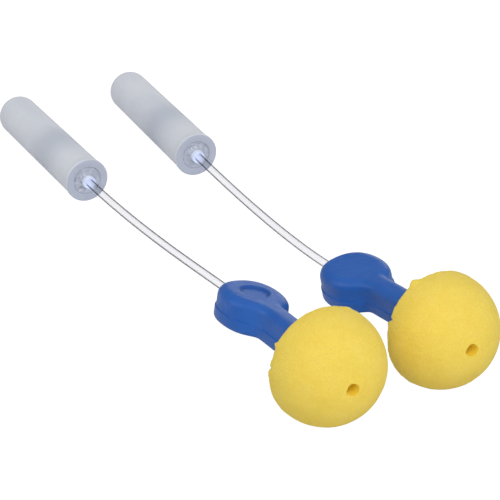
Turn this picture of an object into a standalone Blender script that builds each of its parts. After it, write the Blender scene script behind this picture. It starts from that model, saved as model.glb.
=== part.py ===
"""A pair of push-in foam ear plugs with probe tubes, lying side by side on a table.

Metres, +Z up. The origin is on the table, under the middle of the pair.
Each plug has its own frame at the middle of its foam pod's rim: local +Y runs back
along the stem, local +X goes across the grip and local +Z is the grip's upper side.
Each sleeve has a frame of the same kind in the middle of its open mouth.
"""

import math

import bmesh
import bpy
from mathutils import Euler, Vector

OBJECT_NAME = "probed_foam_ear_plugs"

# Fit between separate pieces that sit inside one another.
CLEARANCE = 0.00006

# Foam pod: a dome in front of its rim, a shallow dished back and a sound hole.
POD_DOME_LENGTH = 0.00715
POD_DOME_POWER = 2.1
POD_RIM_DEPTH = 0.0003
POD_BACK_DISH = -0.0004
POD_HOLE_RADIUS = 0.0007
POD_STEPS = 36
DOME_POINTS = 11

# Stem: one moulding of neck, grip paddle and the post that carries the pod.
TUBE_RADIUS = 0.00079
BORE_RADIUS = TUBE_RADIUS + CLEARANCE
NECK_WIDTH = 0.0033
GRIP_WIDTH = 0.0078
GRIP_LENGTH = 0.0097
GRIP_POWER = 2.3
GRIP_END = 0.0226
STEM_TOP = 0.00212
STEM_BOTTOM = -0.00185
STEM_ROUNDING = 0.0006
LEDGE_WIDTH = 0.00013
LEDGE_HEIGHT = 0.0015
LEDGE_ROUNDING = 0.0003
OUTLINE_POINTS = 9
PANEL_LENGTH = 0.0038
PANEL_WIDTH = 0.0034
PANEL_DEPTH = 0.00024
POST_TIP = -0.0043
POST_RADIUS = 0.0016
POST_WAIST = 0.0013
POST_BARBS = 3
TURNED_STEPS = 24

# Probe tube, from inside the post to inside the sleeve.
TUBE_START = -0.0039
TUBE_IN_SLEEVE = 0.0143
TUBE_POINT_SPACING = 0.0036

# Sleeve: a tapering hollow sleeve with a lip at its mouth and a rounded far end.
SLEEVE_LENGTH = 0.0236
SLEEVE_MOUTH_RADIUS = 0.00266
SLEEVE_FAR_RADIUS = 0.00250
LIP_RADIUS = 0.00276
LIP_LENGTH = 0.0011
FAR_ROUNDING = 0.0016
FAR_ROUNDING_POINTS = 6
COUNTERBORE_RADIUS = 0.00177
COUNTERBORE_DEPTH = 0.0070
BUSH_SET_BACK = 0.0003

# Where each plug lies. The angles are in degrees: yaw turns the plug about the
# vertical, nose_up lifts the pod's nose and roll turns the plug about its own axis.
PLUGS = {
    "left": {
        "pod_radius": 0.0070,
        "rim": (-0.0078, -0.0407),
        "yaw": 0.9,
        "nose_up": 3.0,
        "roll": -10.0,
        "mouth": (-0.0078, 0.0234),
        "sleeve_yaw": -1.3,
        "tube_pull": 0.70,
        "tube_sag": 0.0003,
        "panel_up": True,
    },
    "right": {
        "pod_radius": 0.0069,
        "rim": (0.0080, -0.0384),
        "yaw": 4.2,
        "nose_up": 5.3,
        "roll": 10.0,
        "mouth": (0.0075, 0.0242),
        "sleeve_yaw": -2.7,
        "tube_pull": 0.70,
        "tube_sag": 0.0001,
        "panel_up": False,
    },
}


def clear_scene():
    for item in list(bpy.data.objects):
        bpy.data.objects.remove(item)


def make_collection(name):
    collection = bpy.data.collections.new(name)
    bpy.context.scene.collection.children.link(collection)
    return collection


def make_material(name, colour, roughness, transmission=0.0):
    material = bpy.data.materials.new(name)
    material.use_nodes = True
    shader = material.node_tree.nodes["Principled BSDF"]
    shader.inputs["Base Color"].default_value = (*colour, 1.0)
    shader.inputs["Roughness"].default_value = roughness
    shader.inputs["Metallic"].default_value = 0.0
    shader.inputs["Transmission Weight"].default_value = transmission
    return material


def add_object(name, data, collection, parent=None, material=None):
    item = bpy.data.objects.new(name, data)
    collection.objects.link(item)
    item.parent = parent
    if material is not None:
        item.data.materials.append(material)
    return item


def mark_as_cutter(item):
    item.hide_render = True
    item.display_type = "WIRE"
    return item


def add_frame(name, place, rotation, collection, parent=None):
    """An empty that pieces are parented to."""
    frame = bpy.data.objects.new(name, None)
    collection.objects.link(frame)
    frame.parent = parent
    frame.location = place
    frame.rotation_mode = rotation.order
    frame.rotation_euler = rotation
    return frame


def lying_rotation(yaw, nose_up, roll):
    """Roll about the piece's own axis, then lift its nose, then turn it about the vertical."""
    return Euler((math.radians(-nose_up), math.radians(-roll), math.radians(yaw)), "YXZ")


def turned_piece(name, profile, steps, collection, parent, material=None):
    """A closed (radius, distance) profile turned about the frame's Y axis."""
    mesh = bpy.data.meshes.new(name)
    points = [(radius, 0.0, along) for radius, along in profile]
    edges = [(i, (i + 1) % len(points)) for i in range(len(points))]
    mesh.from_pydata(points, edges, [])
    piece = add_object(name, mesh, collection, parent, material)
    piece.rotation_euler = (math.radians(-90), 0.0, 0.0)
    screw = piece.modifiers.new("turn", "SCREW")
    screw.steps = steps
    screw.render_steps = steps
    screw.merge_threshold = 0.00001
    screw.use_merge_vertices = True
    screw.use_smooth_shade = True
    return piece


def pod_profile(pod_radius):
    """Back face, rim, dome, sound hole and the socket for the post, in that order."""
    socket = POST_RADIUS + CLEARANCE
    flat_radius = NECK_WIDTH * 0.66
    profile = [
        (socket, POD_BACK_DISH),
        (flat_radius, POD_BACK_DISH),
        (pod_radius * 0.86, POD_RIM_DEPTH),
        (pod_radius * 0.93, POD_RIM_DEPTH * 0.93),
        (pod_radius * 0.98, POD_RIM_DEPTH * 0.6),
    ]
    hole_turn = math.acos((POD_HOLE_RADIUS / pod_radius) ** (POD_DOME_POWER / 2))
    for i in range(DOME_POINTS):
        turn = hole_turn * i / (DOME_POINTS - 1)
        radius = pod_radius * math.cos(turn) ** (2 / POD_DOME_POWER)
        along = -POD_DOME_LENGTH * math.sin(turn) ** (2 / POD_DOME_POWER)
        profile.append((radius, along))
    hole_end = POST_TIP - CLEARANCE
    profile.append((POD_HOLE_RADIUS, hole_end))
    profile.append((socket, hole_end))
    return profile


def grip_outline(inset, front):
    """The stem seen from above: the neck's two sides and the oval grip, anticlockwise."""
    half_neck = NECK_WIDTH / 2 - inset
    half_width = GRIP_WIDTH / 2 - inset
    half_length = GRIP_LENGTH / 2 - inset
    middle = GRIP_END - GRIP_LENGTH / 2
    blend = 6
    own_width = (half_width**blend - half_neck**blend) ** (1 / blend)
    right_side = [(half_neck, front)]
    for i in range(OUTLINE_POINTS, 0, -1):
        turn = math.pi / 2 * i / OUTLINE_POINTS
        oval = own_width * math.cos(turn) ** (2 / GRIP_POWER)
        across = (oval**blend + half_neck**blend) ** (1 / blend)
        along = middle - half_length * math.sin(turn) ** (2 / GRIP_POWER)
        right_side.append((across, along))
    for i in range(OUTLINE_POINTS):
        turn = math.pi / 2 * i / OUTLINE_POINTS
        across = half_width * math.cos(turn) ** (2 / GRIP_POWER)
        along = middle + half_length * math.sin(turn) ** (2 / GRIP_POWER)
        right_side.append((across, along))
    left_side = [(-across, along) for across, along in reversed(right_side)]
    return right_side + [(0.0, middle + half_length)] + left_side


def rounded_plate(name, outline, low, high, rounding, collection, parent, material=None):
    """A flat outline made thick, with rounded edges, as a closed mesh."""
    curve = bpy.data.curves.new(name + "_outline", "CURVE")
    curve.dimensions = "2D"
    curve.fill_mode = "BOTH"
    curve.extrude = (high - low) / 2 - rounding
    curve.bevel_depth = rounding
    curve.bevel_resolution = 1
    curve.offset = -rounding
    spline = curve.splines.new("POLY")
    spline.points.add(len(outline) - 1)
    for point, (across, along) in zip(spline.points, outline):
        point.co = (across, along, 0.0, 1.0)
    spline.use_cyclic_u = True
    guide = add_object(name + "_outline", curve, collection, parent)
    guide.location = (0.0, 0.0, (low + high) / 2)
    return curve_to_mesh_piece(name, guide, collection, material)


def curve_to_mesh_piece(name, guide, collection, material):
    """The curve's evaluated shape as a welded mesh object in the same place."""
    bpy.context.view_layer.update()
    evaluated = guide.evaluated_get(bpy.context.evaluated_depsgraph_get())
    mesh = bpy.data.meshes.new_from_object(evaluated)
    work = bmesh.new()
    work.from_mesh(mesh)
    bmesh.ops.remove_doubles(work, verts=work.verts, dist=0.000001)
    bmesh.ops.recalc_face_normals(work, faces=work.faces)
    work.to_mesh(mesh)
    work.free()
    mesh.materials.clear()
    piece = add_object(name, mesh, collection, guide.parent, material)
    piece.matrix_world = guide.matrix_world.copy()
    bpy.data.objects.remove(guide)
    return piece


def add_boolean(piece, operation, other):
    change = piece.modifiers.new(operation.lower() + "_" + other.name, "BOOLEAN")
    change.operation = operation
    change.solver = "EXACT"
    change.object = other


def post_profile():
    """The barbed post inside the pod, from the neck down to its tip, closed along the bore."""
    inner = BORE_RADIUS * 0.5
    neck_side = 0.0016
    profile = [(inner, neck_side), (POST_RADIUS, neck_side)]
    pitch = (-0.0004 - POST_TIP) / POST_BARBS
    for i in range(POST_BARBS):
        top = -0.0004 - i * pitch
        profile.append((POST_RADIUS, top))
        profile.append((POST_WAIST, top - pitch * 0.25))
        profile.append((POST_WAIST, top - pitch * 0.45))
    profile.append((POST_WAIST, POST_TIP))
    profile.append((inner, POST_TIP))
    return profile


def bore_cutter(name, radius, start, end, collection, parent):
    inner = 0.00001
    profile = [(inner, end), (radius, end), (radius, start), (inner, start)]
    return mark_as_cutter(turned_piece(name, profile, TURNED_STEPS, collection, parent))


def make_stem(side, settings, frame, parts, cutters, material):
    """Neck and grip with a parting ledge, the post, the tube's bore and a sunk oval panel."""
    front = POD_BACK_DISH + CLEARANCE
    stem = rounded_plate(
        side + "_stem", grip_outline(LEDGE_WIDTH, front),
        STEM_BOTTOM, STEM_TOP, STEM_ROUNDING, parts, frame, material,
    )
    skirt = rounded_plate(
        side + "_ledge_skirt", grip_outline(0.0, front),
        STEM_BOTTOM + STEM_ROUNDING / 2, STEM_BOTTOM + LEDGE_HEIGHT, LEDGE_ROUNDING,
        cutters, frame,
    )
    post = turned_piece(side + "_post", post_profile(), TURNED_STEPS, cutters, frame)
    bore = bore_cutter(
        side + "_bore_cutter", BORE_RADIUS,
        POST_TIP - 0.001, GRIP_END + 0.001, cutters, frame,
    )
    panel = make_panel_cutter(side, settings["panel_up"], cutters, frame)
    for joined in (skirt, post):
        mark_as_cutter(joined)
        add_boolean(stem, "UNION", joined)
    for cut in (bore, panel):
        add_boolean(stem, "DIFFERENCE", cut)
    return stem


def make_panel_cutter(side, panel_up, cutters, frame):
    """An oval disc that sinks the plain panel into one flat side of the grip."""
    outline = []
    middle = GRIP_END - GRIP_LENGTH / 2
    count = 2 * OUTLINE_POINTS
    for i in range(count):
        turn = 2 * math.pi * i / count
        across = PANEL_WIDTH / 2 * math.cos(turn)
        along = middle + PANEL_LENGTH / 2 * math.sin(turn)
        outline.append((across, along))
    reach = 0.001
    if panel_up:
        low, high = STEM_TOP - PANEL_DEPTH, STEM_TOP - PANEL_DEPTH + reach
    else:
        low, high = STEM_BOTTOM + PANEL_DEPTH - reach, STEM_BOTTOM + PANEL_DEPTH
    name = side + "_panel_cutter"
    return mark_as_cutter(rounded_plate(name, outline, low, high, 0.0001, cutters, frame))


def sleeve_outer_radius(along):
    share = along / SLEEVE_LENGTH
    return SLEEVE_MOUTH_RADIUS + (SLEEVE_FAR_RADIUS - SLEEVE_MOUTH_RADIUS) * share


def sleeve_profile():
    """From the far end's bore out over the rounded end, along the outside and back inside."""
    profile = [(BORE_RADIUS, SLEEVE_LENGTH)]
    centre = SLEEVE_LENGTH - FAR_ROUNDING
    flat_radius = sleeve_outer_radius(centre) - FAR_ROUNDING
    for i in range(FAR_ROUNDING_POINTS + 1):
        turn = math.pi / 2 * (1 - i / FAR_ROUNDING_POINTS)
        radius = flat_radius + FAR_ROUNDING * math.cos(turn)
        profile.append((radius, centre + FAR_ROUNDING * math.sin(turn)))
    profile += [
        (sleeve_outer_radius(LIP_LENGTH), LIP_LENGTH),
        (LIP_RADIUS, LIP_LENGTH * 0.4),
        (LIP_RADIUS, LIP_LENGTH * 0.15),
        (LIP_RADIUS - 0.00012, 0.0),
        (COUNTERBORE_RADIUS, 0.0),
        (COUNTERBORE_RADIUS, COUNTERBORE_DEPTH),
        (BORE_RADIUS, COUNTERBORE_DEPTH),
    ]
    return profile


def bush_profile():
    """The clear collar that holds the tube in the sleeve's mouth."""
    outer = COUNTERBORE_RADIUS - CLEARANCE
    back = COUNTERBORE_DEPTH - CLEARANCE
    dished = BUSH_SET_BACK + 0.0003
    waist = (outer + BORE_RADIUS) / 2
    return [
        (BORE_RADIUS, back),
        (outer, back),
        (outer, BUSH_SET_BACK),
        (waist, dished),
        (BORE_RADIUS, BUSH_SET_BACK),
    ]


def tube_route(start, start_way, end, end_way, pull, sag):
    """A smooth line from start to end along both ways, which hangs by sag in the middle."""
    span = (end - start).length
    count = round(span / TUBE_POINT_SPACING)
    line = []
    for i in range(count + 1):
        t = i / count
        line.append(
            start * (2 * t**3 - 3 * t**2 + 1)
            + start_way * (t**3 - 2 * t**2 + t) * span * pull
            + end * (3 * t**2 - 2 * t**3)
            + end_way * (t**3 - t**2) * span * pull
            - Vector((0, 0, sag)) * 16 * t**2 * (1 - t) ** 2
        )
    return line


def make_tube(side, settings, frame, sleeve_frame, parts, material):
    """One tube: straight in the stem, curved between the pieces, straight in the sleeve."""
    bpy.context.view_layer.update()
    to_world = frame.matrix_world
    sleeve_to_world = sleeve_frame.matrix_world
    back = (to_world.to_3x3() @ Vector((0, 1, 0))).normalized()
    away = (sleeve_to_world.to_3x3() @ Vector((0, 1, 0))).normalized()
    stem_exit = to_world @ Vector((0, GRIP_END, 0))
    mouth = sleeve_to_world.translation
    inside = math.ceil((GRIP_END - TUBE_START) / TUBE_POINT_SPACING)
    line = [
        to_world @ Vector((0, TUBE_START + (GRIP_END - TUBE_START) * i / inside, 0))
        for i in range(inside)
    ]
    line += tube_route(
        stem_exit, back, mouth, away, settings["tube_pull"], settings["tube_sag"]
    )
    gripped = math.ceil(TUBE_IN_SLEEVE / TUBE_POINT_SPACING)
    line += [
        mouth + away * TUBE_IN_SLEEVE * (i + 1) / gripped
        for i in range(gripped)
    ]
    curve = bpy.data.curves.new(side + "_probe_tube", "CURVE")
    curve.dimensions = "3D"
    curve.bevel_depth = TUBE_RADIUS
    curve.bevel_resolution = 2
    curve.use_fill_caps = True
    spline = curve.splines.new("POLY")
    spline.points.add(len(line) - 1)
    for point, place in zip(spline.points, line):
        point.co = (*place, 1.0)
    return add_object(side + "_probe_tube", curve, parts, None, material)


def rest_height(pod_radius, nose_up):
    """How high the rim's middle is when the pod rests on the table."""
    lift = math.radians(nose_up)
    return math.hypot(pod_radius * math.cos(lift), POD_DOME_LENGTH * math.sin(lift))


def make_plug(side, settings, parts, cutters, materials):
    frame = add_frame(
        side + "_plug_frame",
        (*settings["rim"], rest_height(settings["pod_radius"], settings["nose_up"])),
        lying_rotation(settings["yaw"], settings["nose_up"], settings["roll"]),
        cutters,
    )
    bpy.context.view_layer.update()
    stem_exit = frame.matrix_world @ Vector((0, GRIP_END, 0))
    taper = math.atan2(LIP_RADIUS - SLEEVE_FAR_RADIUS, SLEEVE_LENGTH)
    mouth = Vector((*settings["mouth"], LIP_RADIUS + LIP_LENGTH * math.sin(taper)))
    pivot = add_frame(side + "_flex_axis", (stem_exit + mouth) / 2, Euler(), cutters)
    sleeve_frame = add_frame(
        side + "_sleeve_frame",
        mouth - pivot.location,
        lying_rotation(settings["sleeve_yaw"], math.degrees(taper), 0.0),
        cutters,
        pivot,
    )
    pod = pod_profile(settings["pod_radius"])
    turned_piece(side + "_foam_pod", pod, POD_STEPS, parts, frame, materials["foam"])
    make_stem(side, settings, frame, parts, cutters, materials["stem"])
    make_tube(side, settings, frame, sleeve_frame, parts, materials["tube"])
    turned_piece(
        side + "_sleeve", sleeve_profile(), TURNED_STEPS, parts, sleeve_frame, materials["sleeve"]
    )
    turned_piece(
        side + "_sleeve_bush", bush_profile(), TURNED_STEPS, parts, sleeve_frame, materials["bush"]
    )


def main():
    clear_scene()
    parts = make_collection(OBJECT_NAME)
    cutters = make_collection("cutters")
    materials = {
        "foam": make_material("yellow_foam", (0.86, 0.68, 0.12), 0.9),
        "stem": make_material("blue_elastomer", (0.05, 0.14, 0.50), 0.42),
        "tube": make_material("clear_tube", (0.95, 0.96, 0.98), 0.05, 1.0),
        "sleeve": make_material("frosted_sleeve", (0.72, 0.75, 0.80), 0.55, 0.4),
        "bush": make_material("clear_bush", (0.88, 0.90, 0.94), 0.08, 0.9),
    }
    for side, settings in PLUGS.items():
        make_plug(side, settings, parts, cutters, materials)
    bpy.context.view_layer.update()


main()
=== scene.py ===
"""The looks of a pair of push-in foam ear plugs with probe tubes, lying on a pale table.

Metres, +Z up, in the CAD model's frame. Each plug has a frame in the middle of its foam
pod's rim: local +Y runs back along the stem, +X across the grip and +Z out of the grip's
upper side. Each sleeve has a frame of the same kind in the middle of its open mouth.
The dimensions repeat the CAD model's, and the fine surface is added here.
"""

import functools
import math

import bmesh
import bpy
import numpy as np
from mathutils import Euler, Matrix, Vector, noise


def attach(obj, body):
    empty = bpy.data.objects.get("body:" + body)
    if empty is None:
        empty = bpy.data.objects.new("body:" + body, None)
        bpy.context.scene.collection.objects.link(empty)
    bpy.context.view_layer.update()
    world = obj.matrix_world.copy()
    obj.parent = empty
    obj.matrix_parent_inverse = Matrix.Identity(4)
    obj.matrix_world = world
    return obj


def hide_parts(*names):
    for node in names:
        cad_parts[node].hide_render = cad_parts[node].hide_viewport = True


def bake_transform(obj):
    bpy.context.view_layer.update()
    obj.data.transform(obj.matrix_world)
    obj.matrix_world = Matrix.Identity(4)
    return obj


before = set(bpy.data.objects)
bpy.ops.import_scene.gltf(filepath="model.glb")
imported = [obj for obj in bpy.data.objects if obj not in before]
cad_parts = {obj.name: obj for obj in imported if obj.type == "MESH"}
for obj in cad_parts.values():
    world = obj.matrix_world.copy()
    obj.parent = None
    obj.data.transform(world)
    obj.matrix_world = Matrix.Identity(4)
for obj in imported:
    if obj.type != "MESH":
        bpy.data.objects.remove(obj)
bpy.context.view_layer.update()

MM = 0.001

# Camera: where it looks and from where.
CAMERA_AIM = Vector((-0.0005, -0.0071, 0.005))
CAMERA_DISTANCE = 0.564
CAMERA_AZIMUTH = -26.3
CAMERA_ELEVATION = 26.0
CAMERA_LENS = 342.5
CAMERA_SENSOR = 36.0

# Foam pod.
POD_DOME_LENGTH = 7.15 * MM
POD_DOME_POWER = 2.1
POD_RIM_DEPTH = 0.3 * MM
POD_BACK_DISH = -0.4 * MM
POD_RIM_ROUNDING = 0.22 * MM
POD_HOLE_RADIUS = 0.76 * MM
POD_HOLE_ROUNDING = 0.10 * MM
POD_STEPS = 420
POD_DOME_RINGS = 150
SOCKET_RADIUS = 1.66 * MM
SOCKET_END = -4.36 * MM

# The foam's nose hangs a little off the pod's axis, most at the sound hole.
NOSE_DROOP = (-0.12 * MM, 0.0, -0.34 * MM)
NOSE_DROOP_REACH = 5.0 * MM

# Stem. The shoulder between neck and grip is softer on the -X side than on the other.
NECK_WIDTH = 3.3 * MM
GRIP_WIDTH = 7.8 * MM
GRIP_LENGTH = 9.7 * MM
GRIP_POWER = 2.3
GRIP_END = 22.6 * MM
GRIP_MIDDLE = GRIP_END - GRIP_LENGTH / 2
STEM_FRONT = -0.34 * MM
STEM_BOTTOM = -1.85 * MM
CROWN_TOP = 2.12 * MM
CROWN_HEIGHT = 1.3 * MM
CROWN_REACH = 1.4 * MM
CROWN_SHARE = 0.95
CROWN_POWER = 2.2
NECK_CROWN_POWER = 2.8
FOOT_ROUNDING = 0.5 * MM
LEDGE_WIDTH = 0.13 * MM
LEDGE_HEIGHT = 1.5 * MM
LEDGE_SOFTNESS = 0.05 * MM
SKIRT_SOFTNESS = 0.40 * MM
CROWN_SOFTNESS = 0.95 * MM
SHARP_SHARE = 0.22
PANEL_LENGTH = 3.8 * MM
PANEL_WIDTH = 3.4 * MM
PANEL_DEPTH = 0.24 * MM
POST_TIP = -4.3 * MM
POST_RADIUS = 1.6 * MM
POST_WAIST = 1.3 * MM
POST_BARBS = 3
POST_TOP = -0.3 * MM
POST_STEPS = 64
BORE_RADIUS = 0.85 * MM
BORE_STEPS = 48
NECK_ROWS = 40
OVAL_ROWS = 56
STEM_COLUMNS = 56

# Probe tube. It turns milky on its way into the sleeve, measured from the sleeve's mouth.
TUBE_RADIUS = 0.79 * MM
TUBE_BORE_RADIUS = 0.48 * MM
TUBE_START = -3.9 * MM
TUBE_IN_SLEEVE = 14.3 * MM
TUBE_SPACING = 0.4 * MM
TUBE_SIDES = 48
# Over this stretch the tube turns milky and glows with painted light.
MILKY_FROM = -1.2 * MM
MILKY_OVER = 0.8 * MM

# Sleeve, and the clear bush in its mouth with the bead that climbs the tube.
SLEEVE_LENGTH = 23.6 * MM
SLEEVE_MOUTH_RADIUS = 2.66 * MM
SLEEVE_FAR_RADIUS = 2.50 * MM
LIP_RADIUS = 2.76 * MM
LIP_LENGTH = 1.1 * MM
LIP_ROUNDING = 0.14 * MM
MOUTH_ROUNDING = 0.1 * MM
SLEEVE_BORE_RADIUS = 0.85 * MM
FAR_ROUNDING = 1.6 * MM
COUNTERBORE_RADIUS = 1.77 * MM
COUNTERBORE_DEPTH = 7.0 * MM
BUSH_GAP = 0.02 * MM
BUSH_SET_BACK = 0.12 * MM
BUSH_DISH = 0.08 * MM
BUSH_FACE_RINGS = 24
BEAD_HEIGHT = 0.42 * MM
BEAD_START = 0.45
BEAD_RIPPLE = 0.15 * MM
SLEEVE_STEPS = 128
BUSH_STEPS = 96

# A band of painted shade along the frosted sleeve's middle: where it is, how wide and how strong.
CORE_SHADE_PLACE = 8.5 * MM
CORE_SHADE_REACH = 3.2 * MM
CORE_SHADE_STRENGTH = 0.58

# Studio: the floor's own light and how bright the sky and the key light are.
FLOOR_HALF_SIZE = 3.0
FLOOR_GLOW = 0.02
FLOOR_GLOW_SEEN = 1.00
FLOOR_TONE = (0.75, 0.75, 0.75)
FLOOR_TONE_SEEN = (0.15, 0.15, 0.15)
SKY_DARK = 0.22
SKY_BRIGHT = 0.62
SKY_BRIGHT_SIDE = (0.0, -0.5, 0.87)
KEY_POWER = 3.15
LEFT_STRIP_POWER = 0.75
FAR_CARD_POWER = 0.55

# Where the bore's painted shadow line lies, as Layer Weight's facing value (0 is face on).
BORE_SHADOW_LINE_START = 0.54
BORE_SHADOW_LINE_PEAK = 0.72

# The same for the faint painted shade line at the edge of the tube's wall, and the side that
# carries it.
WALL_SHADE_LINE_START = 0.66
WALL_SHADE_LINE_PEAK = 0.84
TUBE_LIT_SIDE = (0.80, 0.0, 0.60)

# Colours, as linear red, green and blue. Tones are pairs of a place on a ramp and a colour.
FOAM_TONES = (
    (0.30, (0.90, 0.68, 0.105)),
    (0.52, (0.93, 0.71, 0.118)),
    (0.75, (0.94, 0.73, 0.150)),
)
FOAM_GRAIN = (0.83, 0.57, 0.075)
FOAM_PITS = (0.74, 0.48, 0.05)
# Painted light in the foam's sound hole: a brighter colour and a glow.
FOAM_HOLE_PAINTED_LIGHT = (1.0, 0.76, 0.07)
FOAM_GLOW = (1.0, 0.66, 0.04)
FOAM_GLOW_STRENGTH = 0.05
STEM_TONES = ((0.3, (0.014, 0.110, 0.46)), (0.7, (0.021, 0.130, 0.51)))
# Painted shade round the stem's sunk panel.
STEM_PAINTED_SHADE = (0.008, 0.055, 0.27)
# Milky tube colour, also the colour of its painted glow in the sleeve.
TUBE_MILKY_GLOW = (0.56, 0.60, 0.70)
TUBE_CLEAR = (0.975, 0.975, 0.98)
# Painted shade line at the tube wall's edge.
TUBE_EDGE_SHADE = (0.50, 0.50, 0.54)
TUBE_SHADOW = (0.97, 0.97, 0.98)
BORE_CLEAR = (0.93, 0.93, 0.94)
BORE_SHADED = (0.84, 0.84, 0.86)
# Painted shadow line in the bore.
BORE_SHADOW_LINE = (0.14, 0.14, 0.16)
SLEEVE_TONES = ((0.3, (0.70, 0.73, 0.80)), (0.7, (0.75, 0.78, 0.845)))
# Painted shade: a band along the sleeve's middle, and its mouth and hollow darker.
SLEEVE_CORE_SHADE = (0.45, 0.50, 0.60)
SLEEVE_MOUTH_SHADE = (0.49, 0.53, 0.64)
SLEEVE_SHADOW = (0.5, 0.52, 0.56)
BUSH_COLOUR = (0.50, 0.54, 0.65)
BUSH_SHADOW = (0.6, 0.62, 0.66)

# Uneven skins, as layers of noise: height (millimetres), size and which noise.
RIM_OUT_NOISE = ((0.045, 0.11, 0), (0.03, 0.035, 5))
RIM_BACK_NOISE = ((0.05, 0.08, 9), (0.05, 0.03, 13))
FOAM_NOISE = ((0.030, 1.9 * MM, 0), (0.012, 0.45 * MM, 3), (0.006, 0.2 * MM, 6))
STEM_NOISE = ((0.016, 2.6 * MM, 0), (0.004, 0.5 * MM, 2))
SLEEVE_NOISE = ((0.012, 3.0 * MM, 0),)

# The first noise of each kind of surface; the second plug's is the next one.
SEEDS = {"rim": 1, "pod": 21, "stem": 41, "sleeve": 61, "bush": 81}

# Where each plug lies, as in the CAD model: degrees and metres.
PLUGS = {
    "left": {
        "pod_radius": 7.0 * MM,
        "rim": (-7.8 * MM, -40.7 * MM),
        "yaw": 0.9,
        "nose_up": 3.0,
        "roll": -10.0,
        "mouth": (-7.8 * MM, 23.4 * MM),
        "sleeve_yaw": -1.3,
        "tube_pull": 0.70,
        "tube_sag": 0.30 * MM,
        "panel_up": True,
    },
    "right": {
        "pod_radius": 6.9 * MM,
        "rim": (8.0 * MM, -38.4 * MM),
        "yaw": 4.2,
        "nose_up": 5.3,
        "roll": 10.0,
        "mouth": (7.5 * MM, 24.2 * MM),
        "sleeve_yaw": -2.7,
        "tube_pull": 0.70,
        "tube_sag": 0.10 * MM,
        "panel_up": False,
    },
}

# Flash and nicks on each pod's rim: where (degrees round the pod), how wide (degrees), how
# far out and how far back towards the grip (millimetres; negative is a nick).
RIM_MARKS = {
    "left": [
        (158, 2.2, 0.02, 0.42),
        (171, 8.0, -0.13, 0.0),
        (181, 1.6, -0.20, -0.10),
        (187, 3.0, 0.05, 0.05),
        (72, 3.0, 0.10, 0.10),
        (132, 4.0, -0.05, 0.08),
        (250, 3.5, 0.05, 0.12),
        (318, 2.5, 0.04, 0.16),
    ],
    "right": [
        (105, 5.0, 0.34, 0.28),
        (147, 1.6, -0.12, -0.30),
        (152, 1.6, 0.00, 0.22),
        (136, 2.0, 0.00, 0.12),
        (170, 5.0, -0.06, 0.0),
        (225, 3.0, 0.06, 0.10),
        (300, 3.5, 0.05, 0.14),
    ],
}


# ---------------------------------------------------------------- placing


def lying_rotation(yaw, nose_up, roll):
    """Roll about the piece's own axis, then lift its nose, then turn it about the vertical."""
    turns = (math.radians(-nose_up), math.radians(-roll), math.radians(yaw))
    return Euler(turns, "YXZ").to_matrix().to_4x4()


def plug_place(side):
    """The plug's frame, at the height where its pod touches the table."""
    settings = PLUGS[side]
    lift = math.radians(settings["nose_up"])
    height = math.hypot(
        settings["pod_radius"] * math.cos(lift), POD_DOME_LENGTH * math.sin(lift)
    )
    turned = lying_rotation(settings["yaw"], settings["nose_up"], settings["roll"])
    return Matrix.Translation((*settings["rim"], height)) @ turned


def sleeve_place(side):
    """The sleeve's frame, tipped so that its lip and its far end touch the table."""
    settings = PLUGS[side]
    taper = math.atan2(LIP_RADIUS - SLEEVE_FAR_RADIUS, SLEEVE_LENGTH)
    height = LIP_RADIUS + LIP_LENGTH * math.sin(taper)
    turned = lying_rotation(settings["sleeve_yaw"], math.degrees(taper), 0.0)
    return Matrix.Translation((*settings["mouth"], height)) @ turned


# ---------------------------------------------------------------- mesh helpers


def rough(points, size, seed):
    """Smooth noise from -1 to 1 at each point, with lumps about size across."""
    shift = Vector((seed * 7.3, seed * 3.1, seed * 5.7))
    return np.array([noise.noise(Vector(p) / size + shift) for p in points])


def seed_of(kind, side):
    """Which noise a surface starts from."""
    return SEEDS[kind] + list(PLUGS).index(side)


def layered(points, layers, seed):
    """Layers of noise added up, in millimetres."""
    return sum(height * rough(points, size, seed + step) for height, size, step in layers)


def smooth_step(value):
    value = np.clip(value, 0.0, 1.0)
    return value * value * (3 - 2 * value)


def grid_faces(rows, columns, close_rows, close_columns, first=0):
    """Quads between neighbouring points of a grid that is stored row by row."""
    faces = []
    for i in range(rows if close_rows else rows - 1):
        for j in range(columns if close_columns else columns - 1):
            k = (i + 1) % rows
            m = (j + 1) % columns
            corners = ((i, j), (i, m), (k, m), (k, j))
            faces.append([first + r * columns + c for r, c in corners])
    return faces


def add_piece(name, points, faces, place, crease=None):
    """A mesh object with outward faces, shaded smooth but for creases over an angle."""
    mesh = bpy.data.meshes.new(name)
    mesh.from_pydata([place @ Vector(p) for p in points], [], faces)
    work = bmesh.new()
    work.from_mesh(mesh)
    bmesh.ops.remove_doubles(work, verts=work.verts, dist=0.0000002)
    bmesh.ops.recalc_face_normals(work, faces=work.faces)
    work.to_mesh(mesh)
    work.free()
    mesh.shade_smooth()
    if crease is not None:
        mesh.set_sharp_from_angle(angle=math.radians(crease))
    piece = bpy.data.objects.new(name, mesh)
    bpy.context.scene.collection.objects.link(piece)
    return piece


def local_points(piece, place):
    """Where a piece's points are in the frame of its own place."""
    local = place.inverted()
    return np.array([local @ v.co for v in piece.data.vertices])


def add_attribute(piece, name, values):
    """Stores one number for each point of a piece, for its material to read."""
    layer = piece.data.attributes.new(name, "FLOAT", "POINT")
    layer.data.foreach_set("value", np.asarray(values, dtype=np.float32))


def turned_points(profile, steps):
    """(radius, along) pairs turned about the Y axis, with each point's radius and turn."""
    profile = np.array(profile)
    turn = np.arange(steps) * 2 * math.pi / steps
    radius = np.repeat(profile[:, 0], steps)
    along = np.repeat(profile[:, 1], steps)
    turn = np.tile(turn, len(profile))
    return radius, along, turn


def to_points(radius, along, turn):
    return np.column_stack([radius * np.cos(turn), along, radius * np.sin(turn)])


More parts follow.
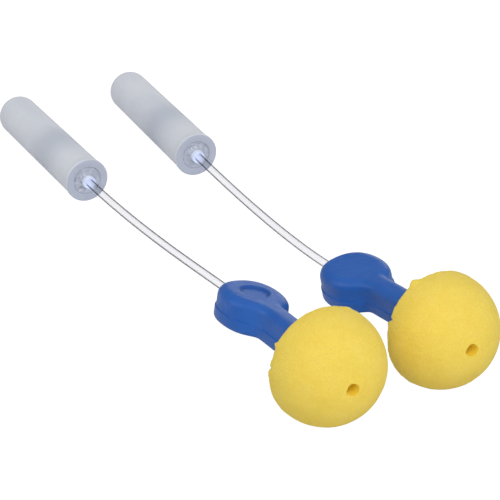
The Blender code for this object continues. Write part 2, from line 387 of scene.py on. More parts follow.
def arc(centre, radius, start, end, count):
    """Points on an arc, in degrees from the radial direction towards the axis direction."""
    points = []
    for i in range(count + 1):
        turn = math.radians(start + (end - start) * i / count)
        points.append(
            (centre[0] + radius * math.cos(turn), centre[1] + radius * math.sin(turn))
        )
    return points


def densify(profile, spacing):
    """The same profile with extra points, so that no step is longer than spacing."""
    dense = []
    for (r0, s0), (r1, s1) in zip(profile, profile[1:]):
        parts = max(1, math.ceil(math.hypot(r1 - r0, s1 - s0) / spacing))
        for i in range(parts):
            t = i / parts
            dense.append((r0 + (r1 - r0) * t, s0 + (s1 - s0) * t))
    return dense + [profile[-1]]


# ---------------------------------------------------------------- material helpers


class Surface:
    """A material under construction: a Principled BSDF and the nodes that feed it."""

    def __init__(self, name):
        self.material = bpy.data.materials.new(name)
        self.material.use_nodes = True
        self.tree = self.material.node_tree
        self.shader = self.tree.nodes["Principled BSDF"]
        self.output = self.tree.nodes["Material Output"]

    @functools.cached_property
    def millimetres(self):
        """Object coordinates in millimetres, for the textures."""
        coordinates = self.node("ShaderNodeTexCoord")
        scale = self.node("ShaderNodeMapping")
        scale.inputs["Scale"].default_value = (1000, 1000, 1000)
        self.join(coordinates.outputs["Object"], scale.inputs["Vector"])
        return scale.outputs["Vector"]

    def node(self, kind, **settings):
        made = self.tree.nodes.new(kind)
        for key, value in settings.items():
            setattr(made, key, value)
        return made

    def join(self, source, target):
        self.tree.links.new(source, target)

    def set(self, **values):
        for key, value in values.items():
            self.shader.inputs[key.replace("_", " ")].default_value = value

    def noise(self, lumps_per_mm, detail, roughness):
        made = self.node("ShaderNodeTexNoise")
        made.inputs["Scale"].default_value = lumps_per_mm
        made.inputs["Detail"].default_value = detail
        made.inputs["Roughness"].default_value = roughness
        self.join(self.millimetres, made.inputs["Vector"])
        return made.outputs["Fac"]

    def cells(self, cells_per_mm):
        made = self.node("ShaderNodeTexVoronoi")
        made.inputs["Scale"].default_value = cells_per_mm
        self.join(self.millimetres, made.inputs["Vector"])
        return made.outputs["Distance"]

    def ramp(self, source, stops):
        made = self.node("ShaderNodeValToRGB")
        while len(made.color_ramp.elements) < len(stops):
            made.color_ramp.elements.new(0.5)
        for element, (position, colour) in zip(made.color_ramp.elements, stops):
            element.position = position
            element.color = (*colour, 1.0)
        self.join(source, made.inputs["Fac"])
        return made.outputs["Color"]

    def scaled(self, source, low, high, source_low=0.0, source_high=1.0):
        """Runs from low to high while the source does so, and stays there beyond."""
        made = self.node("ShaderNodeMapRange")
        made.inputs["From Min"].default_value = source_low
        made.inputs["From Max"].default_value = source_high
        made.inputs["To Min"].default_value = low
        made.inputs["To Max"].default_value = high
        self.join(source, made.inputs["Value"])
        return made.outputs["Result"]

    def colour(self, value, socket):
        """Gives a colour socket either a colour or what another socket says."""
        if isinstance(value, bpy.types.NodeSocket):
            self.join(value, socket)
        else:
            socket.default_value = (*value, 1.0)

    def mixed(self, factor, first, second):
        """A mix of two colours, each a socket or a colour; the factor is a socket."""
        made = self.node("ShaderNodeMix", data_type="RGBA")
        # The node's colour sockets come after those for numbers and vectors.
        self.join(factor, made.inputs[0])
        self.colour(first, made.inputs[6])
        self.colour(second, made.inputs[7])
        return made.outputs[2]

    def bump(self, height, depth_mm, normal=None):
        made = self.node("ShaderNodeBump")
        made.inputs["Distance"].default_value = depth_mm * MM
        self.join(height, made.inputs["Height"])
        if normal is not None:
            self.join(normal, made.inputs["Normal"])
        return made.outputs["Normal"]

    def product(self, first, second):
        made = self.node("ShaderNodeMath", operation="MULTIPLY")
        self.join(first, made.inputs[0])
        self.join(second, made.inputs[1])
        return made.outputs["Value"]

    def transparent(self, tint):
        made = self.node("ShaderNodeBsdfTransparent")
        self.colour(tint, made.inputs["Color"])
        return made.outputs["BSDF"]

    def mixed_shaders(self, factor, first, second):
        made = self.node("ShaderNodeMixShader")
        self.join(factor, made.inputs["Fac"])
        self.join(first, made.inputs[1])
        self.join(second, made.inputs[2])
        return made.outputs["Shader"]

    def lit_side(self):
        """1 where the tube's surface leans up and to +X, 0 where it leans the other way."""
        lean = self.node("ShaderNodeVectorMath", operation="DOT_PRODUCT")
        self.join(self.node("ShaderNodeNewGeometry").outputs["Normal"], lean.inputs[0])
        lean.inputs[1].default_value = TUBE_LIT_SIDE
        return self.scaled(lean.outputs["Value"], 0.0, 1.0, -0.3, 0.5)

    def attribute(self, name):
        return self.node("ShaderNodeAttribute", attribute_name=name).outputs["Fac"]

    def lets_light_through(self, tint, surface=None):
        """Shadow rays pass through with a tint, as light passes through the real plastic."""
        in_shadow = self.node("ShaderNodeLightPath").outputs["Is Shadow Ray"]
        surface = surface or self.shader.outputs["BSDF"]
        either = self.mixed_shaders(in_shadow, surface, self.transparent(tint))
        self.join(either, self.output.inputs["Surface"])


# ---------------------------------------------------------------- materials


def foam_material():
    """Slow-recovery foam: matt, finely pored, with soft light inside it, and painted light in its
    sound hole: a brighter colour and a glow.
    """
    foam = Surface("yellow_foam")
    foam.set(
        Roughness=0.8,
        IOR=1.35,
        Subsurface_Weight=0.30,
        Subsurface_Radius=(1.0, 0.65, 0.15),
        Subsurface_Scale=0.0006,
        Sheen_Weight=0.03,
        Sheen_Roughness=0.5,
    )
    colour = foam.ramp(foam.noise(0.5, 4.0, 0.6), FOAM_TONES)
    grain = foam.scaled(foam.noise(4.2, 2.0, 0.7), 0.0, 0.40, 0.40, 0.68)
    colour = foam.mixed(grain, colour, FOAM_GRAIN)
    pits = foam.scaled(foam.cells(2.3), 0.60, 0.0, 0.04, 0.11)
    colour = foam.mixed(pits, colour, FOAM_PITS)
    # Painted light in the sound hole: a brighter colour here, and a glow below.
    inside = foam.attribute("inside")
    colour = foam.mixed(inside, colour, FOAM_HOLE_PAINTED_LIGHT)
    foam.join(colour, foam.shader.inputs["Base Color"])
    foam.set(Emission_Color=(*FOAM_GLOW, 1))
    glow = foam.scaled(inside, 0.0, FOAM_GLOW_STRENGTH)
    foam.join(glow, foam.shader.inputs["Emission Strength"])
    normal = foam.bump(foam.cells(5.5), 0.035)
    normal = foam.bump(foam.noise(2.2, 5.0, 0.65), 0.06, normal)
    foam.join(normal, foam.shader.inputs["Normal"])
    return foam.material


def stem_material():
    """Blue moulded elastomer with a satin, finely grained skin, and painted shade round its sunk
    panel.
    """
    stem = Surface("blue_elastomer")
    stem.set(IOR=1.48, Specular_IOR_Level=0.40)
    colour = stem.ramp(stem.noise(0.25, 3.0, 0.5), STEM_TONES)
    # Painted shade round the sunk panel.
    colour = stem.mixed(stem.attribute("painted_shade"), colour, STEM_PAINTED_SHADE)
    stem.join(colour, stem.shader.inputs["Base Color"])
    grain = stem.noise(4.5, 4.0, 0.65)
    stem.join(stem.scaled(grain, 0.26, 0.46), stem.shader.inputs["Roughness"])
    normal = stem.bump(grain, 0.03)
    normal = stem.bump(stem.noise(0.8, 2.0, 0.5), 0.06, normal)
    stem.join(normal, stem.shader.inputs["Normal"])
    return stem.material


def tube_material():
    """Clear flexible tubing: a faint gloss, a thin painted shade line at its upper edge, milky and
    glowing with painted light in the sleeve.
    """
    tube = Surface("clear_tube")
    tube.set(Base_Color=(*TUBE_MILKY_GLOW, 1), IOR=1.45, Roughness=0.12)
    # Painted light: where gripped, the tube glows milky.
    tube.set(Emission_Color=(*TUBE_MILKY_GLOW, 1), Emission_Strength=0.40)
    weight = tube.node("ShaderNodeLayerWeight")
    weight.inputs["Blend"].default_value = 0.30
    lit = tube.lit_side()
    # A painted shade line near the silhouette, on the lit side only.
    edge = tube.scaled(weight.outputs["Facing"], 0.0, 1.0, WALL_SHADE_LINE_START, WALL_SHADE_LINE_PEAK)
    clear = tube.transparent(tube.mixed(tube.product(edge, lit), TUBE_CLEAR, TUBE_EDGE_SHADE))
    gloss = tube.node("ShaderNodeBsdfAnisotropic")
    gloss.inputs["Color"].default_value = (1, 1, 1, 1)
    gloss.inputs["Roughness"].default_value = 0.10
    shine = tube.product(tube.scaled(weight.outputs["Fresnel"], 0.0, 0.10), lit)
    look = tube.mixed_shaders(shine, clear, gloss.outputs["BSDF"])
    look = tube.mixed_shaders(tube.attribute("gripped"), look, tube.shader.outputs["BSDF"])
    tube.lets_light_through(TUBE_SHADOW, look)
    return tube.material


def bore_material():
    """The tubing's bore: nearly clear, with a painted shadow line where the view grazes its near
    wall, milky and glowing with painted light in the sleeve.
    """
    bore = Surface("clear_tube_bore")
    bore.set(Base_Color=(*TUBE_MILKY_GLOW, 1), IOR=1.45, Roughness=0.12)
    # Painted light: where gripped, the bore glows milky.
    bore.set(Emission_Color=(*TUBE_MILKY_GLOW, 1), Emission_Strength=0.45)
    facing = bore.node("ShaderNodeLayerWeight").outputs["Facing"]
    near = bore.node("ShaderNodeNewGeometry").outputs["Backfacing"]
    # Painted shade on the near wall's lit side, and a painted shadow line where the view grazes
    # it.
    tint = bore.mixed(bore.product(bore.lit_side(), near), BORE_CLEAR, BORE_SHADED)
    line = bore.product(bore.scaled(facing, 0.0, 1.0, BORE_SHADOW_LINE_START, BORE_SHADOW_LINE_PEAK), near)
    clear = bore.transparent(bore.mixed(line, tint, BORE_SHADOW_LINE))
    look = bore.mixed_shaders(bore.attribute("gripped"), clear, bore.shader.outputs["BSDF"])
    bore.lets_light_through(TUBE_SHADOW, look)
    return bore.material


def sleeve_material():
    """Frosted translucent moulding, faintly blue-grey, with a band of painted shade along its
    middle, and painted shade on its mouth and in its hollow.
    """
    sleeve = Surface("frosted_sleeve")
    sleeve.set(
        IOR=1.45,
        Subsurface_Weight=0.10,
        Subsurface_Radius=(1.0, 1.0, 1.0),
        Subsurface_Scale=0.0015,
    )
    colour = sleeve.ramp(sleeve.noise(0.30, 3.0, 0.55), SLEEVE_TONES)
    # Painted shade: a band along the middle, and the mouth's face and the hollow darker.
    colour = sleeve.mixed(sleeve.attribute("core_shade"), colour, SLEEVE_CORE_SHADE)
    colour = sleeve.mixed(sleeve.attribute("mouth"), colour, SLEEVE_MOUTH_SHADE)
    sleeve.join(colour, sleeve.shader.inputs["Base Color"])
    grain = sleeve.noise(7.0, 3.0, 0.6)
    sleeve.join(sleeve.scaled(grain, 0.42, 0.58), sleeve.shader.inputs["Roughness"])
    sleeve.join(sleeve.bump(grain, 0.012), sleeve.shader.inputs["Normal"])
    sleeve.lets_light_through(SLEEVE_SHADOW)
    return sleeve.material


def bush_material():
    """Clear collar with a wet-looking face."""
    bush = Surface("clear_bush")
    bush.set(Base_Color=(*BUSH_COLOUR, 1), IOR=1.5, Coat_Weight=1.0, Coat_Roughness=0.03)
    ripples = bush.noise(1.6, 2.0, 0.5)
    bush.join(bush.scaled(ripples, 0.10, 0.25), bush.shader.inputs["Roughness"])
    normal = bush.bump(ripples, 0.45)
    bush.join(normal, bush.shader.inputs["Normal"])
    bush.join(normal, bush.shader.inputs["Coat Normal"])
    bush.lets_light_through(BUSH_SHADOW)
    return bush.material


def floor_material():
    """A table top that lights the object as a pale one does, and is seen as plain white."""
    floor = Surface("pale_table")
    floor.set(Roughness=0.9, Specular_IOR_Level=0.1, Emission_Color=(1, 1, 1, 1))
    seen = floor.node("ShaderNodeLightPath").outputs["Is Camera Ray"]
    tone = floor.mixed(seen, FLOOR_TONE, FLOOR_TONE_SEEN)
    floor.join(tone, floor.shader.inputs["Base Color"])
    glow = floor.scaled(seen, FLOOR_GLOW, FLOOR_GLOW_SEEN)
    floor.join(glow, floor.shader.inputs["Emission Strength"])
    return floor.material


# ---------------------------------------------------------------- foam pods


def rim_relief(side, degrees):
    """How far the rim stands out and back at each turn, in metres."""
    circle = np.column_stack(
        [np.cos(np.radians(degrees)), np.sin(np.radians(degrees)), 0 * degrees]
    )
    out = layered(circle, RIM_OUT_NOISE, seed_of("rim", side))
    back = layered(circle, RIM_BACK_NOISE, seed_of("rim", side))
    for place, width, how_far_out, how_far_back in RIM_MARKS[side]:
        away = (degrees - place + 180) % 360 - 180
        bell = np.exp(-((away / width) ** 2))
        out = out + how_far_out * bell
        back = back + how_far_back * bell
    return out * MM, back * MM


def pod_outline(radius):
    """The pod's half section: back face, rim, dome, edge of the sound hole, hole, socket."""
    flat = NECK_WIDTH * 0.66
    back = [(SOCKET_RADIUS, POD_BACK_DISH), (flat, POD_BACK_DISH), (radius * 0.90, POD_RIM_DEPTH)]
    outline = densify(back, 0.12 * MM)
    rim_centre = (radius - POD_RIM_ROUNDING - 0.02 * MM, POD_RIM_DEPTH - POD_RIM_ROUNDING)
    outline += arc(rim_centre, POD_RIM_ROUNDING, 90, 10, 8)
    mouth = POD_HOLE_RADIUS + POD_HOLE_ROUNDING
    last = math.acos((mouth / radius) ** (POD_DOME_POWER / 2))
    for i in range(POD_DOME_RINGS + 1):
        turn = last * i / POD_DOME_RINGS
        outline.append(
            (
                radius * math.cos(turn) ** (2 / POD_DOME_POWER),
                -POD_DOME_LENGTH * math.sin(turn) ** (2 / POD_DOME_POWER),
            )
        )
    edge = outline[-1][1] + POD_HOLE_ROUNDING
    outline += arc((mouth, edge), POD_HOLE_ROUNDING, 255, 180, 6)
    hole = [(POD_HOLE_RADIUS, edge), (POD_HOLE_RADIUS, SOCKET_END)]
    outline += densify(hole, 0.15 * MM)[1:]
    outline += [(SOCKET_RADIUS, SOCKET_END)]
    return outline


def make_pod(side, material):
    pod_radius = PLUGS[side]["pod_radius"]
    seed = seed_of("pod", side)
    outline = pod_outline(pod_radius)
    radius, along, turn = turned_points(outline, POD_STEPS)
    plain = to_points(radius, along, turn)
    off_axis = np.hypot(plain[:, 0], plain[:, 2])
    skin = (along > 0.01 * MM - POD_DOME_LENGTH) & (off_axis > POD_HOLE_RADIUS + 0.1 * MM)

    # The rim's flash and nicks.
    out, back = rim_relief(side, np.degrees(turn))
    near_rim = smooth_step((radius - 0.80 * pod_radius) / (0.16 * pod_radius))
    near_rim = near_rim * smooth_step(1 + (along - POD_RIM_DEPTH) / (1.0 * MM))
    radius = radius + out * near_rim
    along = along + back * near_rim

    # The sound hole isn't quite round.
    near_hole = smooth_step((1.5 * MM - radius) / (0.7 * MM)) * (along < SOCKET_END - 0.01 * MM)
    wobble = 0.035 * np.cos(3 * turn + seed) + 0.045 * np.cos(4 * turn + 2 * seed)
    stretch = 0.04 * np.cos(2 * turn + 0.9 * seed)
    radius = radius * (1 + (wobble + stretch) * near_hole)

    # The nose droops, and the skin is lumpy.
    points = to_points(radius, along, turn)
    nose = smooth_step((NOSE_DROOP_REACH - radius) / NOSE_DROOP_REACH)
    nose = nose * smooth_step((SOCKET_END - along) / (0.8 * MM)) * (along < SOCKET_END)
    points = points + nose[:, None] * np.array(NOSE_DROOP)
    lumps = layered(points, FOAM_NOISE, seed) - 0.02
    away = points / np.maximum(np.linalg.norm(points, axis=1), 1e-9)[:, None]
    points = points + away * (lumps * MM * skin)[:, None]

    faces = grid_faces(len(outline), POD_STEPS, True, True)
    pod = add_piece(side + "_pod_foam", points, faces, plug_place(side), crease=50)
    pod.data.materials.append(material)
    # Where the sound hole's inside gets painted light: a brighter colour and a glow.
    places = local_points(pod, plug_place(side))
    in_hole = np.hypot(places[:, 0], places[:, 2]) < 1.15 * MM
    depth = places[:, 1] + POD_DOME_LENGTH - 0.05 * MM
    add_attribute(pod, "inside", in_hole * smooth_step(depth / (0.3 * MM)))
    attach(pod, side + "_plug")
    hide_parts(side + "_foam_pod")


# ---------------------------------------------------------------- stems


def stem_side(inset, softness):
    """(half width, along) down one side of the stem, from the pod to the grip's end.

    The shoulder between neck and grip is rounded off over about the softness given.
    """
    half_neck = NECK_WIDTH / 2 - inset
    half_width = GRIP_WIDTH / 2 - inset
    half_length = GRIP_LENGTH / 2 - inset
    shoulder = GRIP_MIDDLE - half_length

    def plain_width(along):
        share = np.clip(np.abs(along - GRIP_MIDDLE) / half_length, 0, 1)
        oval = half_width * (1 - share**GRIP_POWER) ** (1 / GRIP_POWER)
        return np.where(along < GRIP_MIDDLE, np.maximum(oval, half_neck), oval)

    spread = np.linspace(-2.5, 2.5, 41)
    weight = np.exp(-(spread**2) / 2)
    places = [STEM_FRONT + (shoulder - STEM_FRONT) * i / NECK_ROWS for i in range(NECK_ROWS)]
    for i in range(OVAL_ROWS, -OVAL_ROWS, -1):
        turn = math.pi / 2 * i / OVAL_ROWS
        reach = half_length * abs(math.sin(turn)) ** (2 / GRIP_POWER)
        places.append(GRIP_MIDDLE - math.copysign(reach, turn))
    side = []
    for along in places:
        soft = softness * float(np.clip((GRIP_MIDDLE - along) / (0.5 * half_length), 0, 1))
        across = (plain_width(along + spread * soft) * weight).sum() / weight.sum()
        side.append((float(across), along))
    return side


def column_shares():
    """Places across the stem from 1 to -1, closer together near the edges."""
    return [math.cos(math.pi * j / STEM_COLUMNS) for j in range(STEM_COLUMNS + 1)]


def stem_sides(inset, softness):
    """Both sides of the stem. The shoulder on its +X side is the sharper one."""
    return stem_side(inset, softness * SHARP_SHARE), stem_side(inset, softness)


def across_stem(sharp, soft, share):
    """A place across the stem, from 1 at its +X side to -1 at the other."""
    return sharp * share if share > 0 else soft * share


def stem_ring(inset, softness, height):
    """One level of the stem's wall, all the way round."""
    sharp, soft = stem_sides(inset, softness)
    shares = column_shares()[1:-1]
    ring = [(w, y, height) for w, y in sharp]
    last, first = (sharp[-1][0], soft[-1][0]), (sharp[0][0], soft[0][0])
    ring += [(across_stem(*last, share), sharp[-1][1], height) for share in shares]
    ring += [(-w, y, height) for w, y in reversed(soft)]
    ring += [(across_stem(*first, -share), sharp[0][1], height) for share in shares]
    return ring


def stem_levels():
    """(height, inset, softness) up the stem's wall: rounded foot, skirt, ledge, upper wall."""
    levels = []
    for i in range(9):
        turn = math.pi / 2 * i / 8
        rise = FOOT_ROUNDING * (1 - math.cos(turn))
        levels.append((STEM_BOTTOM + rise, FOOT_ROUNDING * (1 - math.sin(turn)), SKIRT_SOFTNESS))
    ledge = STEM_BOTTOM + LEDGE_HEIGHT
    for i in range(5):
        turn = math.pi / 2 * i / 4
        drop = LEDGE_SOFTNESS * (1 - math.sin(turn))
        levels.append((ledge - drop, LEDGE_SOFTNESS * (1 - math.cos(turn)), SKIRT_SOFTNESS))
    levels.append((ledge + 0.01 * MM, LEDGE_WIDTH - 0.02 * MM, CROWN_SOFTNESS))
    levels.append((ledge + 0.05 * MM, LEDGE_WIDTH, CROWN_SOFTNESS))
    levels.append((CROWN_TOP - CROWN_HEIGHT, LEDGE_WIDTH, CROWN_SOFTNESS))
    return levels


def panel_share(across, along):
    """0 in the middle of the oval panel and 1 on its outline."""
    return np.hypot(across / (PANEL_WIDTH / 2), (along - GRIP_MIDDLE) / (PANEL_LENGTH / 2))


def panel_relief(across, along):
    """Depth of the sunk oval panel, with a soft wall and a faint bead round it."""
    share = panel_share(across, along)
    sunk = smooth_step((1.06 - share) / 0.16)
    bead = np.exp(-(((share - 1.13) / 0.06) ** 2))
    return PANEL_DEPTH * sunk - 0.02 * MM * bead


def painted_panel_shade(side, mesh):
    """How much painted shade each point gets round the sunk panel, from 0 to 1."""
    places = np.array([v.co for v in mesh.vertices])
    height = places[:, 2] if PLUGS[side]["panel_up"] else -places[:, 2]
    share = panel_share(places[:, 0], places[:, 1])
    bell = np.exp(-(((share - 0.93) / 0.13) ** 2))
    return 0.55 * bell * (height > 1.2 * MM)


def edge_distance(points, sharp, soft):
    """How far each point is inside the outline, measured level."""
    outline = np.array(sharp + [(-w, y) for w, y in reversed(soft)])
    start, end = outline[:-1], outline[1:]
    way = end - start
    length = np.maximum((way**2).sum(1), 1e-18)
    nearest = np.full(len(points), 1.0)
    for first in range(0, len(points), 1000):
        part = points[first : first + 1000, None, :2]
        t = np.clip(((part - start) * way).sum(2) / length, 0, 1)
        gap = part - (start + t[..., None] * way)
        nearest[first : first + 1000] = np.sqrt((gap**2).sum(2)).min(1)
    return nearest


def stem_cap(level, crowned, with_panel):
    """The upper or lower side as a grid of points; the upper one is crowned like a pillow."""
    height, inset, softness = level
    sharp, soft = stem_sides(inset, softness)
    shares = column_shares()
    points = np.array(
        [
            (across_stem(w, v, share), y, height)
            for (w, y), (v, _) in zip(sharp, soft)
            for share in shares
        ]
    )
    if crowned:
        widths = np.repeat([w for w, _ in soft], len(shares))
        reach = np.minimum(CROWN_REACH, CROWN_SHARE * widths)
        share = np.clip(edge_distance(points, sharp, soft) / reach, 0, 1)
        along_neck = (GRIP_END - GRIP_LENGTH - points[:, 1]) / (3 * MM)
        power = CROWN_POWER + (NECK_CROWN_POWER - CROWN_POWER) * smooth_step(along_neck + 1)
        rise = (1 - (1 - share) ** power) ** (1 / power)
        points[:, 2] += CROWN_HEIGHT * rise
    if with_panel:
        sink = panel_relief(points[:, 0], points[:, 1])
        points[:, 2] -= sink if crowned else -sink
    return points, len(sharp), len(shares)


def post_shell():
    """The barbed post that carries the pod; it shows only down the sound hole."""
    pitch = (POST_TOP - POST_TIP) / POST_BARBS
    profile = [(BORE_RADIUS, POST_TOP), (POST_RADIUS, POST_TOP)]
    for i in range(POST_BARBS):
        start = POST_TOP - i * pitch
        profile.append((POST_RADIUS, start - 0.02 * MM))
        profile.append((POST_WAIST, start - pitch * 0.25))
        profile.append((POST_WAIST, start - pitch * 0.45))
    profile += [(POST_WAIST, POST_TIP), (BORE_RADIUS, POST_TIP)]
    points = to_points(*turned_points(profile, POST_STEPS))
    return points, grid_faces(len(profile), POST_STEPS, True, True)


def drill(piece, radius, start, end):
    """Cuts a round hole along the local Y axis, and bakes the cut into the mesh."""
    profile = [(0.01 * MM, start), (radius, start), (radius, end), (0.01 * MM, end)]
    points = to_points(*turned_points(profile, BORE_STEPS))
    faces = grid_faces(len(profile), BORE_STEPS, True, True)
    cutter = add_piece("drill", points, faces, Matrix())
    cut = piece.modifiers.new("bore", "BOOLEAN")
    cut.operation = "DIFFERENCE"
    cut.solver = "EXACT"
    cut.object = cutter
    bpy.context.view_layer.update()
    evaluated = piece.evaluated_get(bpy.context.evaluated_depsgraph_get())
    drilled = bpy.data.meshes.new_from_object(evaluated)
    piece.modifiers.clear()
    piece.data = drilled
    bpy.data.objects.remove(cutter)


def make_stem(side, material):
    levels = stem_levels()
    rings = [stem_ring(inset, softness, height) for height, inset, softness in levels]
    points = np.array([p for ring in rings for p in ring])
    faces = grid_faces(len(rings), len(rings[0]), False, True)
    panel_up = PLUGS[side]["panel_up"]
    for level, crowned in ((levels[0], False), (levels[-1], True)):
        cap, rows, columns = stem_cap(level, crowned, panel_up == crowned)
        faces += grid_faces(rows, columns, False, False, len(points))
        points = np.vstack([points, cap])
    points[:, 2] += layered(points, STEM_NOISE, seed_of("stem", side)) * MM
    stem = add_piece(side + "_grip_and_neck", points, faces, Matrix())
    drill(stem, BORE_RADIUS, STEM_FRONT - 1 * MM, GRIP_END + 1 * MM)
    shell_points, shell_faces = post_shell()
    post = add_piece("post", shell_points, shell_faces, Matrix())
    # Painted shade round the sunk panel; the post gets none.
    add_attribute(post, "painted_shade", np.zeros(len(post.data.vertices)))
    add_attribute(stem, "painted_shade", painted_panel_shade(side, stem.data))
    work = bmesh.new()
    work.from_mesh(stem.data)
    work.from_mesh(post.data)
    work.transform(plug_place(side))
    work.to_mesh(stem.data)
    work.free()
    bpy.data.objects.remove(post)
    stem.data.shade_smooth()
    stem.data.set_sharp_from_angle(angle=math.radians(50))
    stem.data.materials.clear()
    stem.data.materials.append(material)
    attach(stem, side + "_plug")
    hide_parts(side + "_stem")


# ---------------------------------------------------------------- probe tubes


def tube_route(side):
    """The tube's centre line: straight in the stem, a smooth curve, straight in the sleeve."""
    plug, sleeve = plug_place(side), sleeve_place(side)
    back = (plug.to_3x3() @ Vector((0, 1, 0))).normalized()
    away = (sleeve.to_3x3() @ Vector((0, 1, 0))).normalized()
    start = plug @ Vector((0, GRIP_END, 0))
    end = sleeve.translation
    span = (end - start).length
    pull = PLUGS[side]["tube_pull"]
    sag = Vector((0, 0, PLUGS[side]["tube_sag"]))
    inside = math.ceil((GRIP_END - TUBE_START) / TUBE_SPACING)
    line = [
        plug @ Vector((0, TUBE_START + (GRIP_END - TUBE_START) * i / inside, 0))
        for i in range(inside)
    ]
    free = math.ceil(span / TUBE_SPACING)
    for i in range(free + 1):
        t = i / free
        line.append(
            start * (2 * t**3 - 3 * t**2 + 1)
            + back * (t**3 - 2 * t**2 + t) * span * pull
            + end * (3 * t**2 - 2 * t**3)
            + away * (t**3 - t**2) * span * pull
            - sag * 16 * t**2 * (1 - t) ** 2
        )
    gripped = math.ceil(TUBE_IN_SLEEVE / TUBE_SPACING)
    line += [end + away * TUBE_IN_SLEEVE * (i + 1) / gripped for i in range(gripped)]
    return line, start, end


def tube_points(line, radius):
    """Rings of points round the line, which stays close to level, so up is a safe guide."""
    points = []
    for i, centre in enumerate(line):
        way = (line[min(i + 1, len(line) - 1)] - line[max(i - 1, 0)]).normalized()
        across = way.cross(Vector((0, 0, 1))).normalized()
        up = across.cross(way)
        for j in range(TUBE_SIDES):
            turn = 2 * math.pi * j / TUBE_SIDES
            points.append(centre + radius * (math.cos(turn) * across + math.sin(turn) * up))
    return points


def make_tube(side, wall_look, bore_look):
    line, start, end = tube_route(side)
    outer = tube_points(line, TUBE_RADIUS)
    inner = tube_points(line, TUBE_BORE_RADIUS)
    rings = len(line)
    faces = grid_faces(rings, TUBE_SIDES, False, True)
    tube_faces = len(faces)
    faces += grid_faces(rings, TUBE_SIDES, False, True, len(outer))
    for ring in (0, rings - 1):
        for j in range(TUBE_SIDES):
            k = (j + 1) % TUBE_SIDES
            a, b = ring * TUBE_SIDES + j, ring * TUBE_SIDES + k
            faces.append([a, b, len(outer) + b, len(outer) + a])
    tube = add_piece(side + "_clear_tube", outer + inner, faces, Matrix(), crease=60)
    tube.data.materials.append(wall_look)
    tube.data.materials.append(bore_look)
    for face in tube.data.polygons[tube_faces : 2 * tube_faces]:
        face.material_index = 1
    depth = local_points(tube, sleeve_place(side))[:, 1]
    add_attribute(tube, "gripped", smooth_step((depth - MILKY_FROM) / MILKY_OVER))
    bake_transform(tube)
    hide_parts(side + "_probe_tube")


# ---------------------------------------------------------------- sleeves


def sleeve_wall(along):
    share = along / SLEEVE_LENGTH
    return SLEEVE_MOUTH_RADIUS + (SLEEVE_FAR_RADIUS - SLEEVE_MOUTH_RADIUS) * share


def sleeve_outline():
    """The sleeve's half section, from the far end over the outside to the mouth and back in."""
    bore = SLEEVE_BORE_RADIUS
    centre = SLEEVE_LENGTH - FAR_ROUNDING
    flat = sleeve_wall(centre) - FAR_ROUNDING
    outline = [(bore, SLEEVE_LENGTH - 0.05 * MM), (bore + 0.04 * MM, SLEEVE_LENGTH)]
    outline += arc((flat, centre), FAR_ROUNDING, 90, 0, 18)
    outline += [(sleeve_wall(s * MM), s * MM) for s in range(20, 1, -1)]
    outline += [
        (sleeve_wall(LIP_LENGTH), LIP_LENGTH),
        (sleeve_wall(LIP_LENGTH) + 0.02 * MM, LIP_LENGTH * 0.8),
        (LIP_RADIUS - 0.01 * MM, LIP_LENGTH * 0.5),
    ]
    outline += arc((LIP_RADIUS - LIP_ROUNDING, LIP_ROUNDING), LIP_ROUNDING, 0, -90, 6)
    inner_lip = (COUNTERBORE_RADIUS + MOUTH_ROUNDING, MOUTH_ROUNDING)
    outline += arc(inner_lip, MOUTH_ROUNDING, 270, 180, 5)
    outline += [(COUNTERBORE_RADIUS, s * MM) for s in (1, 2, 3, 4, 5, 6)]
    outline += [(COUNTERBORE_RADIUS, COUNTERBORE_DEPTH), (bore, COUNTERBORE_DEPTH)]
    outline += [(bore, s * MM) for s in range(9, 23, 2)]
    return outline


def make_sleeve(side, material):
    outline = sleeve_outline()
    radius, along, turn = turned_points(outline, SLEEVE_STEPS)
    points = to_points(radius, along, turn)
    dents = layered(points, SLEEVE_NOISE, seed_of("sleeve", side)) - 0.012
    skin = radius > COUNTERBORE_RADIUS * 1.05
    points = to_points(radius + dents * MM * skin, along, turn)
    faces = grid_faces(len(outline), SLEEVE_STEPS, True, True)
    sleeve = add_piece(side + "_frosted_sleeve", points, faces, sleeve_place(side), crease=35)
    sleeve.data.materials.append(material)
    places = local_points(sleeve, sleeve_place(side))
    along = places[:, 1]
    inside = np.hypot(places[:, 0], places[:, 2]) < 2.0 * MM
    # Painted shade: a band along the middle of the outside, and the mouth's face and the hollow
    # darker.
    core_shade = CORE_SHADE_STRENGTH * np.exp(-(((along - CORE_SHADE_PLACE) / CORE_SHADE_REACH) ** 2))
    add_attribute(sleeve, "core_shade", core_shade * ~inside)
    add_attribute(sleeve, "mouth", (along < 0.05 * MM) | inside)
    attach(sleeve, side + "_probe_end")
    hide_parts(side + "_sleeve")


def bush_outline():
    """A collar whose face is dished, with a bead that climbs the tube in the middle."""
    outer = COUNTERBORE_RADIUS - BUSH_GAP
    bore = TUBE_RADIUS + BUSH_GAP
    outline = [(bore, COUNTERBORE_DEPTH - BUSH_GAP), (outer, COUNTERBORE_DEPTH - BUSH_GAP)]
    outline += [(outer, s * MM) for s in (6, 5, 4, 3, 2, 1.0, 0.4)]
    for i in range(BUSH_FACE_RINGS + 1):
        share = i / BUSH_FACE_RINGS
        dish = BUSH_DISH * math.sin(math.pi * share)
        bead = BEAD_HEIGHT * max(0.0, (share - BEAD_START) / (1 - BEAD_START)) ** 2
        outline.append((outer + (bore - outer) * share, BUSH_SET_BACK + dish - bead))
    outline += [(bore, s * MM) for s in (2, 4, 6)]
    return outline


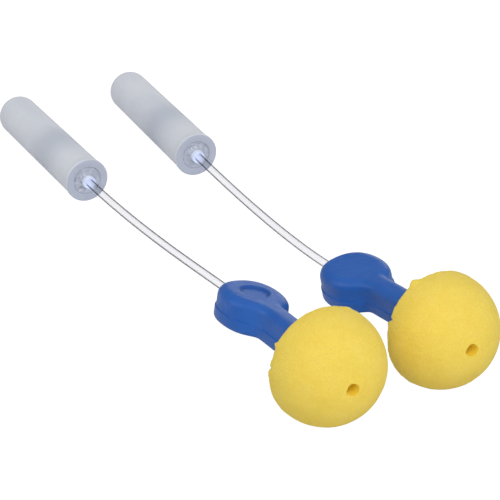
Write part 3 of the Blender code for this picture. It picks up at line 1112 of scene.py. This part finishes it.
def make_bush(side, material):
    outline = bush_outline()
    radius, along, turn = turned_points(outline, BUSH_STEPS)
    face = smooth_step((1.3 * MM - along) / (0.6 * MM)) * (radius < COUNTERBORE_RADIUS - 0.08 * MM)
    ripple = rough(to_points(radius, along, turn), 0.50 * MM, seed_of("bush", side))
    points = to_points(radius, along + BEAD_RIPPLE * face * ripple, turn)
    faces = grid_faces(len(outline), BUSH_STEPS, True, True)
    bush = add_piece(side + "_clear_bush", points, faces, sleeve_place(side), crease=50)
    bush.data.materials.append(material)
    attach(bush, side + "_probe_end")
    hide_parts(side + "_sleeve_bush")


# ---------------------------------------------------------------- studio


def look_at(item, target):
    item.rotation_mode = "QUATERNION"
    item.rotation_quaternion = (target - item.location).to_track_quat("-Z", "Y")


def direction(azimuth, elevation):
    """A unit vector towards a place at that azimuth (0 is -Y, 90 is +X) and height, in degrees."""
    a, e = math.radians(azimuth), math.radians(elevation)
    return Vector((math.sin(a) * math.cos(e), -math.cos(a) * math.cos(e), math.sin(e)))


def make_camera():
    data = bpy.data.cameras.new("camera")
    data.lens = CAMERA_LENS
    data.sensor_width = CAMERA_SENSOR
    data.clip_start = 0.01
    data.clip_end = 20.0
    camera = bpy.data.objects.new("camera", data)
    bpy.context.scene.collection.objects.link(camera)
    camera.location = CAMERA_AIM + CAMERA_DISTANCE * direction(CAMERA_AZIMUTH, CAMERA_ELEVATION)
    look_at(camera, CAMERA_AIM)
    bpy.context.scene.camera = camera


def make_floor():
    mesh = bpy.data.meshes.new("table_top")
    size = FLOOR_HALF_SIZE
    corners = [(-size, -size, 0), (size, -size, 0), (size, size, 0), (-size, size, 0)]
    mesh.from_pydata(corners, [], [(0, 1, 2, 3)])
    floor = bpy.data.objects.new("table_top", mesh)
    bpy.context.scene.collection.objects.link(floor)
    mesh.materials.append(floor_material())


def add_light(name, azimuth, elevation, distance, width, height, power):
    data = bpy.data.lights.new(name, "AREA")
    data.shape = "RECTANGLE"
    data.size = width
    data.size_y = height
    data.energy = power
    light = bpy.data.objects.new(name, data)
    bpy.context.scene.collection.objects.link(light)
    light.location = distance * direction(azimuth, elevation)
    look_at(light, Vector((0, 0, 0)))


def make_sky():
    """A soft dome: bright overhead and in front, dim towards the far horizon."""
    world = bpy.data.worlds.new("studio")
    world.use_nodes = True
    tree = world.node_tree
    background = tree.nodes["Background"]
    background.inputs["Color"].default_value = (1, 1, 1, 1)
    way = tree.nodes.new("ShaderNodeTexCoord")
    lean = tree.nodes.new("ShaderNodeVectorMath")
    lean.operation = "DOT_PRODUCT"
    lean.inputs[1].default_value = SKY_BRIGHT_SIDE
    level = tree.nodes.new("ShaderNodeMapRange")
    level.interpolation_type = "SMOOTHSTEP"
    level.inputs["From Min"].default_value = -0.10
    level.inputs["From Max"].default_value = 0.70
    level.inputs["To Min"].default_value = SKY_DARK
    level.inputs["To Max"].default_value = SKY_BRIGHT
    tree.links.new(way.outputs["Generated"], lean.inputs[0])
    tree.links.new(lean.outputs["Value"], level.inputs["Value"])
    tree.links.new(level.outputs["Result"], background.inputs["Strength"])
    bpy.context.scene.world = world


def make_lights():
    make_sky()
    add_light("key", -8, 42, 0.9, 0.40, 0.40, KEY_POWER)
    add_light("left_strip", -115, 26, 0.8, 0.30, 0.30, LEFT_STRIP_POWER)
    add_light("far_card", 140, 6, 1.0, 0.50, 0.25, FAR_CARD_POWER)


# ---------------------------------------------------------------- build


make_camera()
bpy.context.scene.view_settings.view_transform = "Standard"

tube_look = tube_material()
bore_look = bore_material()
for plug_side in PLUGS:
    make_tube(plug_side, tube_look, bore_look)

foam_look = foam_material()
stem_look = stem_material()
sleeve_look = sleeve_material()
bush_look = bush_material()
for plug_side in PLUGS:
    make_pod(plug_side, foam_look)
    make_stem(plug_side, stem_look)
    make_sleeve(plug_side, sleeve_look)
    make_bush(plug_side, bush_look)

make_floor()
make_lights()
